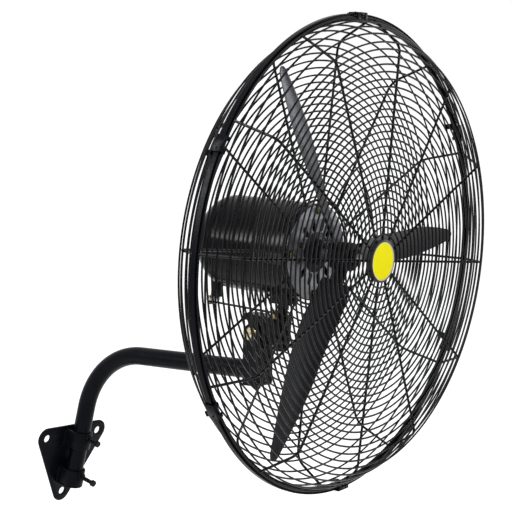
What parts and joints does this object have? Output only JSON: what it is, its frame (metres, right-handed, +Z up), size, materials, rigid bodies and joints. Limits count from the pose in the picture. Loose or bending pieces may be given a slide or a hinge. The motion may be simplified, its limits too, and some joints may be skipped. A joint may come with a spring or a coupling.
{
  "type": "wall mounted fan",
  "caption": "Wall mounted industrial fan: triangular wall plate, bent tube arm, tilting and swinging motor head, long metal blades in a deep wire guard.",
  "frame": {"origin": "back face of the wall plate, midway between the height of its lower hole and that of its upper two, on the centre line", "axes": "+Z up, the wall is the plane Y = 0 and the fan blows towards -Y"},
  "size_m": [0.8, 0.6595, 1.0635],
  "materials": {
    "black_paint": "satin black powder coat",
    "gloss_black": "gloss black enamel",
    "cast_black": "black enamel on a casting",
    "blade_grey": "satin charcoal enamel",
    "bare_steel": "bare machined steel",
    "yellow_zinc": "yellow passivated zinc plating",
    "brass": "turned brass",
    "copper_winding": "varnished copper winding on steel laminations",
    "yellow_plastic": "bright yellow plastic",
    "black_plastic": "fine-grained black plastic"
  },
  "bodies": {
    "wall": {"wall_plate": "black_paint", "clamp_bolt_upper": "cast_black", "clamp_bolt_lower": "cast_black"},
    "arm": {"arm_tube": "gloss_black", "yoke_casting": "cast_black", "yoke_lock_screw": "cast_black", "tilt_bolt": "yellow_zinc", "tilt_washer_left": "yellow_zinc", "tilt_washer_right": "yellow_zinc", "tilt_nut": "yellow_zinc"},
    "swivel": {"swivel_block": "cast_black", "link_pin": "brass"},
    "head": {"motor_can": "gloss_black", "rear_cover": "gloss_black", "end_bell": "cast_black", "front_bearing": "bare_steel", "rear_bearing": "bare_steel", "stator": "copper_winding", "neck_bracket": "cast_black", "pivot_nut": "cast_black", "terminal_box": "black_plastic", "bell_screw_1": "yellow_zinc", "bell_screw_2": "yellow_zinc", "bell_screw_3": "yellow_zinc", "bell_screw_4": "yellow_zinc", "gearbox": "cast_black", "rear_guard": "black_paint", "front_guard": "black_paint", "rim_hoop": "black_paint", "rim_clip_1": "cast_black", "rim_clip_2": "cast_black", "rim_clip_3": "cast_black", "rim_clip_4": "cast_black", "rim_clip_5": "cast_black", "rim_clip_6": "cast_black", "hub_cup": "black_plastic", "badge_disc": "yellow_plastic"},
    "crank": {"crank": "bare_steel", "crank_screw": "brass", "crank_nut": "brass"},
    "link": {"link_rod": "bare_steel"},
    "rotor": {"rotor_shaft": "bare_steel", "fan_hub": "cast_black", "blade_1": "blade_grey", "blade_2": "blade_grey", "blade_3": "blade_grey", "hub_nut": "cast_black"}
  },
  "joints": [
    {"name": "arm_swing", "type": "hinge", "parent": "wall", "child": "arm", "pos_m": [0, -0.0255, 0.05], "axis": [0, 0, 1], "range_deg": [-30, 30]},
    {"name": "head_tilt", "type": "hinge", "parent": "arm", "child": "swivel", "pos_m": [0, -0.391, 0.401], "axis": [1, 0, 0], "range_deg": [-20, 20]},
    {"name": "head_swing", "type": "hinge", "parent": "swivel", "child": "head", "pos_m": [0, -0.43457, 0.44473], "axis": [0, 0.1736, 0.9848], "range_deg": [-35, 35]},
    {"name": "crank_turn", "type": "hinge", "parent": "head", "child": "crank", "pos_m": [0, -0.28375, 0.43337], "axis": [0, 0.1736, 0.9848], "range_deg": [-50, 50]},
    {"name": "link_swing", "type": "hinge", "parent": "crank", "child": "link", "pos_m": [-0.01678, -0.28425, 0.42736], "axis": [0, 0.1736, 0.9848], "range_deg": [-50, 50]},
    {"name": "fan_spin", "type": "hinge", "parent": "head", "child": "rotor", "pos_m": [0, -0.53831, 0.58487], "axis": [0, 0.9848, -0.1736], "continuous": true}
  ],
  "couplings": [
    {"joint": "crank_turn", "follows": "head_swing", "ratio": -1.3726},
    {"joint": "link_swing", "follows": "head_swing", "ratio": 1.3594}
  ]
}
